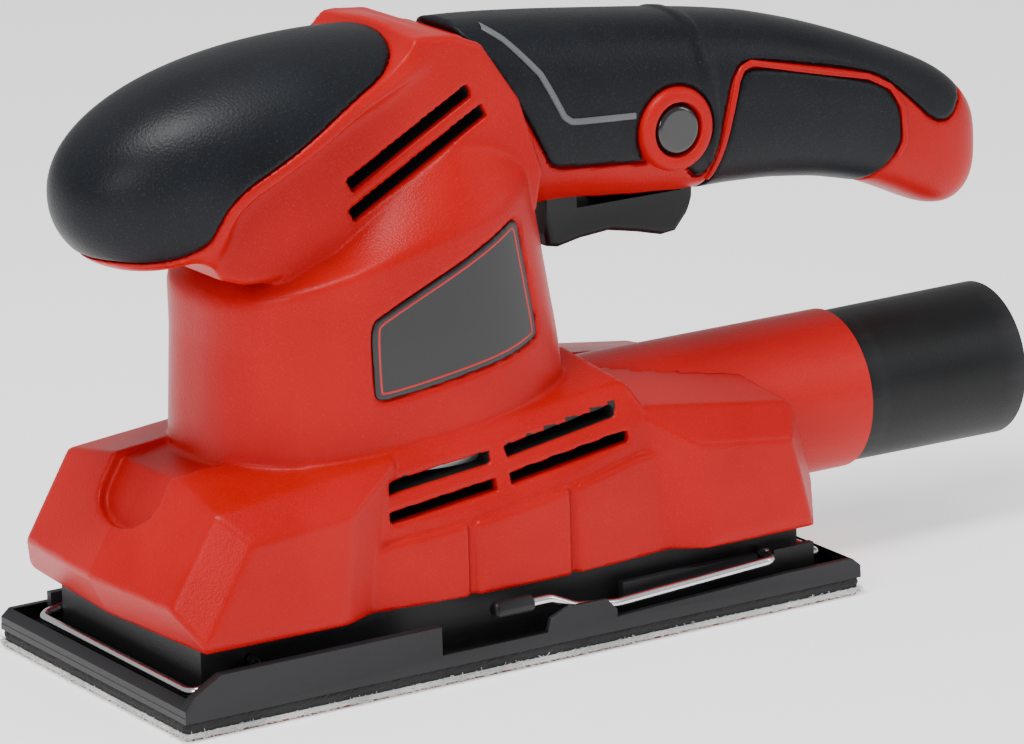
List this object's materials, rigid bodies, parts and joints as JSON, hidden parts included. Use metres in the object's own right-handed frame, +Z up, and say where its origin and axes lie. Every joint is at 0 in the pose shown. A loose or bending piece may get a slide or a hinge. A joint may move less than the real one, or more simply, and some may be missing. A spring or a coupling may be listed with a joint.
{
  "type": "orbital sander",
  "caption": "Corded finishing sander with a rectangular orbiting plate, paper clamps, rear trigger handle, lock-on button and dust outlet.",
  "frame": {"origin": "centre of the sanding face, on its working surface", "axes": "+Z up away from the work, +X towards the dust outlet and the rear of the handle, -Y the side with the lock-on button"},
  "size_m": [0.2587, 0.09, 0.1484],
  "materials": {
    "red_plastic": "moulded red plastic, fine sparkle grain",
    "soft_grip": "black soft-touch rubber, fine grain",
    "black_plastic": "moulded matt black",
    "gloss_black": "polished black",
    "badge_black": "satin black with a thin red inset line",
    "steel": "bright drawn or ground steel",
    "screw_steel": "blackened steel",
    "laminations": "stacked steel sheet",
    "copper": "lacquered copper winding",
    "brass": "bright",
    "aluminium": "die cast",
    "carbon": "graphite",
    "foam": "closed-cell black foam",
    "hook": "white hook and loop layer",
    "abrasive": "reddish-brown abrasive on paper",
    "boot_rubber": "black rubber"
  },
  "bodies": {
    "housing": {"housing_left": "red_plastic", "housing_right": "red_plastic", "palm_grip": "soft_grip", "handle_grip_left": "soft_grip", "handle_grip_right": "soft_grip", "lower_grip_left": "soft_grip", "lower_grip_right": "soft_grip", "badge_left": "badge_black", "badge_right": "badge_black", "housing_screws": "screw_steel", "bearing_bracket": "aluminium", "stator_core": "laminations", "field_coils": "copper", "brush_holders": "brass", "carbon_brushes": "carbon", "brush_springs": "steel", "lower_bearing": "steel", "upper_bearing": "steel", "bearing_boot": "boot_rubber", "switch_body": "black_plastic", "capacitor": "black_plastic", "trigger_pin": "steel", "inlet_bushing": "black_plastic", "cord_clamp": "black_plastic", "cord_clamp_screws": "screw_steel", "dust_duct": "red_plastic", "rubber_posts": "boot_rubber"},
    "rotor": {"rotor_shaft": "steel", "rotor_core": "laminations", "rotor_windings": "copper", "commutator": "brass", "fan": "black_plastic", "eccentric": "steel", "retaining_washer": "steel", "retaining_screw": "screw_steel"},
    "platen": {"base_plate": "black_plastic", "pad_bearing": "steel", "foam_pad": "foam", "hook_layer": "hook", "sanding_sheet": "abrasive"},
    "front_clamp": {"front_clamp_wire": "steel", "front_lever_cap": "black_plastic"},
    "rear_clamp": {"rear_clamp_wire": "steel", "rear_lever_cap": "black_plastic"},
    "trigger": {"trigger": "black_plastic"},
    "lock_button": {"lock_button": "gloss_black"},
    "adapter": {"dust_adapter": "black_plastic"}
  },
  "joints": [
    {"name": "rotor_spin", "type": "hinge", "parent": "housing", "child": "rotor", "pos_m": [-0.012, 0, 0.06], "axis": [0, 0, 1], "continuous": true},
    {"name": "platen_orbit", "type": "hinge", "parent": "rotor", "child": "platen", "pos_m": [-0.011, 0, 0.02], "axis": [0, 0, 1], "continuous": true},
    {"name": "rear_clamp_lift", "type": "hinge", "parent": "platen", "child": "rear_clamp", "pos_m": [0.07, 0, 0.0125], "axis": [0, 1, 0], "range_deg": [0, 6]},
    {"name": "front_clamp_lift", "type": "hinge", "parent": "platen", "child": "front_clamp", "pos_m": [-0.07, 0, 0.0125], "axis": [0, -1, 0], "range_deg": [0, 6]},
    {"name": "trigger_pull", "type": "hinge", "parent": "housing", "child": "trigger", "pos_m": [0.034, 0, 0.1048], "axis": [0, -1, 0], "range_deg": [0, 5], "stiffness_Nm_per_rad": 0.6, "springref_deg": -5.73},
    {"name": "lock_press", "type": "slide", "parent": "housing", "child": "lock_button", "axis": [0, 1, 0], "range_m": [0, 0.002], "stiffness_N_per_m": 400, "springref_m": -0.001},
    {"name": "adapter_pull", "type": "slide", "parent": "housing", "child": "adapter", "axis": [1, 0, 0], "range_m": [0, 0.018]}
  ],
  "couplings": [
    {"joint": "platen_orbit", "follows": "rotor_spin", "ratio": -1}
  ]
}
